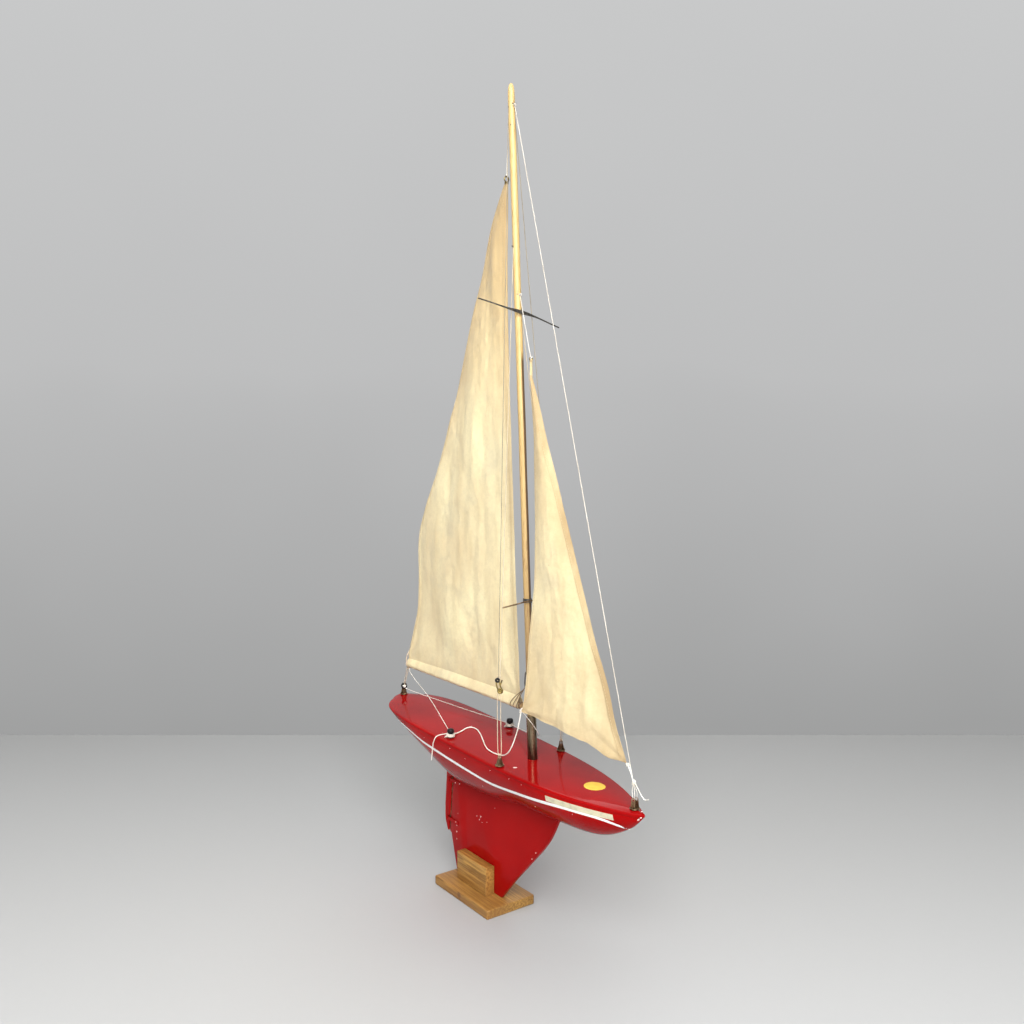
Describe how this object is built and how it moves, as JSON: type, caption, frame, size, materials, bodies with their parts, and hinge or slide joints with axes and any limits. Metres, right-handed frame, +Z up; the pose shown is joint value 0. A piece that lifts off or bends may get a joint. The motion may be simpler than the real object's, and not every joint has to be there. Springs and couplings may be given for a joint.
{
  "type": "toy sailing boat",
  "caption": "Wooden toy sailing boat with a red hull, fin keel, hinged rudder, swinging mainsail and jib, and a slotted display stand it lifts out of.",
  "frame": {"origin": "middle of the stand's flat underside", "axes": "+X to the bow, +Y to port, +Z up along the mast"},
  "size_m": [0.5247, 0.1224, 1.0276],
  "materials": {
    "stand_wood": "clear varnished softwood, satin, eased edges",
    "aged_metal": "aged grey-brown plated metal, dull",
    "red_paint": "wood under deep red gloss enamel, worn at edges",
    "ballast_metal": "lead ballast, painted over",
    "brass": "tarnished brass",
    "mast_wood": "yellow varnished pine dowel",
    "inner_wood": "bare wood",
    "dark_metal": "dark blued metal",
    "black_paint": "black enamel",
    "white_cord": "off-white twisted cotton cord",
    "sail_cloth": "aged cream cotton, stained"
  },
  "bodies": {
    "stand": {"stand_base": "stand_wood", "stand_cheek_starboard": "stand_wood", "stand_cheek_port": "stand_wood", "stand_screw_1": "aged_metal", "stand_screw_2": "aged_metal", "stand_screw_3": "aged_metal", "stand_screw_4": "aged_metal"},
    "boat": {"keel_bolt_aft": "aged_metal", "keel_bolt_fore": "aged_metal", "mast_tube": "aged_metal", "spreader_lower": "aged_metal", "chainplate_starboard": "aged_metal", "chainplate_port": "aged_metal", "bow_bracket": "aged_metal", "stern_eye": "aged_metal", "hull_shell": "red_paint", "deck_plate": "red_paint", "keel_fin": "red_paint", "keel_ballast": "ballast_metal", "rudder_strap_lower": "brass", "rudder_strap_upper": "brass", "shroud_hook_starboard": "brass", "shroud_hook_port": "brass", "mast": "mast_wood", "mast_step_block": "inner_wood", "mast_pin_masthead_aft": "dark_metal", "mast_pin_forestay": "dark_metal", "mast_pin_lower_shroud": "dark_metal", "mast_pin_jib_halyard": "dark_metal", "spreader_upper": "dark_metal", "gooseneck_hook": "dark_metal", "cleat_starboard": "black_paint", "cleat_port": "black_paint", "cleat_turns_starboard": "white_cord", "cleat_turns_port": "white_cord", "forestay": "white_cord", "shroud_upper_starboard": "white_cord", "shroud_upper_port": "white_cord", "shroud_lower_starboard": "white_cord", "shroud_lower_port": "white_cord", "lanyard_starboard": "white_cord", "lanyard_port": "white_cord", "bow_lashing": "white_cord", "main_halyard": "white_cord", "jib_halyard": "white_cord", "mainsheet": "white_cord", "boom_line_starboard": "white_cord", "deck_line_port": "white_cord", "jib_sheet_starboard": "white_cord", "jib_sheet_port": "white_cord", "sheet_tail_starboard": "white_cord", "bow_tail": "white_cord"},
    "rudder": {"rudder_blade": "red_paint", "rudder_pin": "aged_metal"},
    "mainsail": {"mainsail": "sail_cloth", "boom": "mast_wood", "main_head_hook": "brass", "boom_lashing": "white_cord"},
    "jib": {"jib": "sail_cloth", "jib_head_hook": "brass"}
  },
  "joints": [
    {"name": "lift_off", "type": "slide", "parent": "stand", "child": "boat", "axis": [0, 0, 1], "range_m": [0, 0.06]},
    {"name": "rudder_turn", "type": "hinge", "parent": "boat", "child": "rudder", "pos_m": [-0.07795, 0, 0.108], "axis": [0.1087, 0, 0.9941], "range_deg": [-35, 35]},
    {"name": "boom_swing", "type": "hinge", "parent": "boat", "child": "mainsail", "pos_m": [0.082, 0, 0.282], "axis": [-0.042, 0, 0.9991], "range_deg": [-15, 15]},
    {"name": "jib_swing", "type": "hinge", "parent": "boat", "child": "jib", "pos_m": [0.2743, 0, 0.2575], "axis": [-0.3642, 0, 0.9313], "range_deg": [0, 25]}
  ]
}
